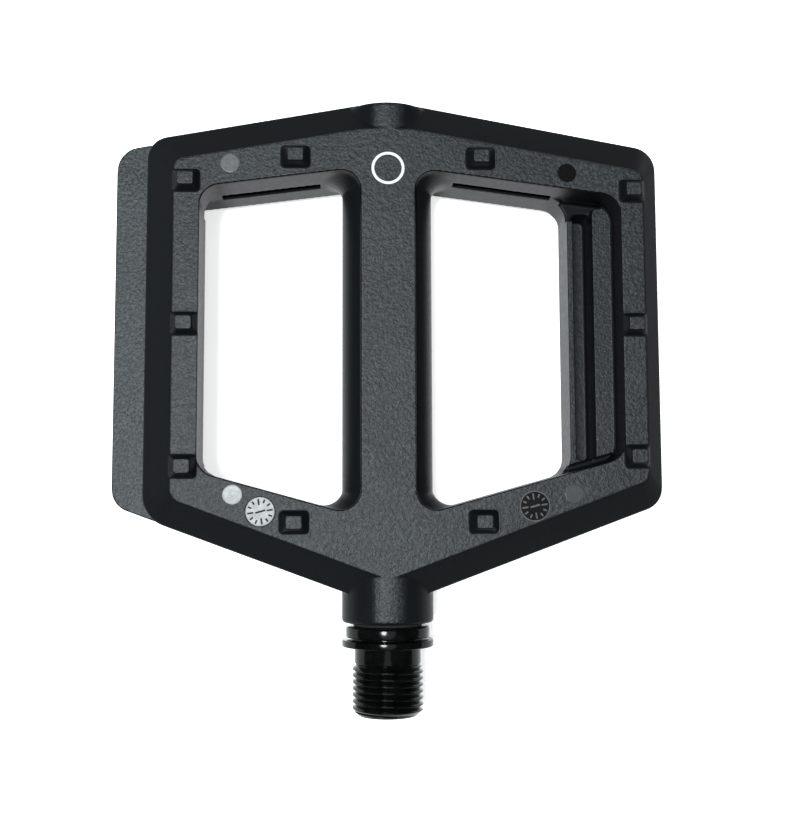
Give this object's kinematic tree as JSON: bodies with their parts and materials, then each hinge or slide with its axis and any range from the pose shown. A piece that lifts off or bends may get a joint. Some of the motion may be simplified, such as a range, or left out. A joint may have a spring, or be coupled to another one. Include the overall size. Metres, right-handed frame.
{
  "type": "flat pedal",
  "caption": "Flat bicycle platform pedal, black moulded body with two windows and moulded studs, spinning on a threaded spindle.",
  "frame": {"origin": "on the spindle axis, in the plane of the flange face that tightens against the crank arm", "axes": "+Y runs outboard along the spindle, away from the crank arm; +Z is the normal of the upper tread face; +X completes the right-handed frame"},
  "size_m": [0.1104, 0.1234, 0.022],
  "materials": {
    "nylon_black": "moulded, fine grain on the flat faces",
    "spindle_black": "gloss black",
    "rubber": "matt",
    "bush_polymer": "satin",
    "bearing_steel": "ground",
    "zinc_steel": "zinc plated",
    "brass": "pressed",
    "white_nylon": "moulded"
  },
  "bodies": {
    "spindle": {"spindle": "spindle_black", "bearing_inner_ring": "bearing_steel", "bearing_washer": "zinc_steel", "axle_locknut": "zinc_steel", "locknut_nylon_insert": "white_nylon"},
    "platform": {"pedal_body": "nylon_black", "inboard_seal": "rubber", "inboard_bushing": "bush_polymer", "bearing_outer_ring": "bearing_steel", "bearing_shield_inboard": "bearing_steel", "bearing_shield_outboard": "bearing_steel", "end_cap": "nylon_black", "end_cap_o_ring": "rubber"},
    "ball_set": {"bearing_cage": "brass", "bearing_ball_1": "bearing_steel", "bearing_ball_2": "bearing_steel", "bearing_ball_3": "bearing_steel", "bearing_ball_4": "bearing_steel", "bearing_ball_5": "bearing_steel", "bearing_ball_6": "bearing_steel", "bearing_ball_7": "bearing_steel", "bearing_ball_8": "bearing_steel"}
  },
  "joints": [
    {"name": "pedal_spin", "type": "hinge", "parent": "spindle", "child": "platform", "pos_m": [0, 0, 0], "axis": [0, 1, 0], "continuous": true},
    {"name": "ball_set_orbit", "type": "hinge", "parent": "spindle", "child": "ball_set", "pos_m": [0, 0, 0], "axis": [0, 1, 0], "continuous": true}
  ],
  "couplings": [
    {"joint": "ball_set_orbit", "follows": "pedal_spin", "ratio": 0.6053}
  ]
}
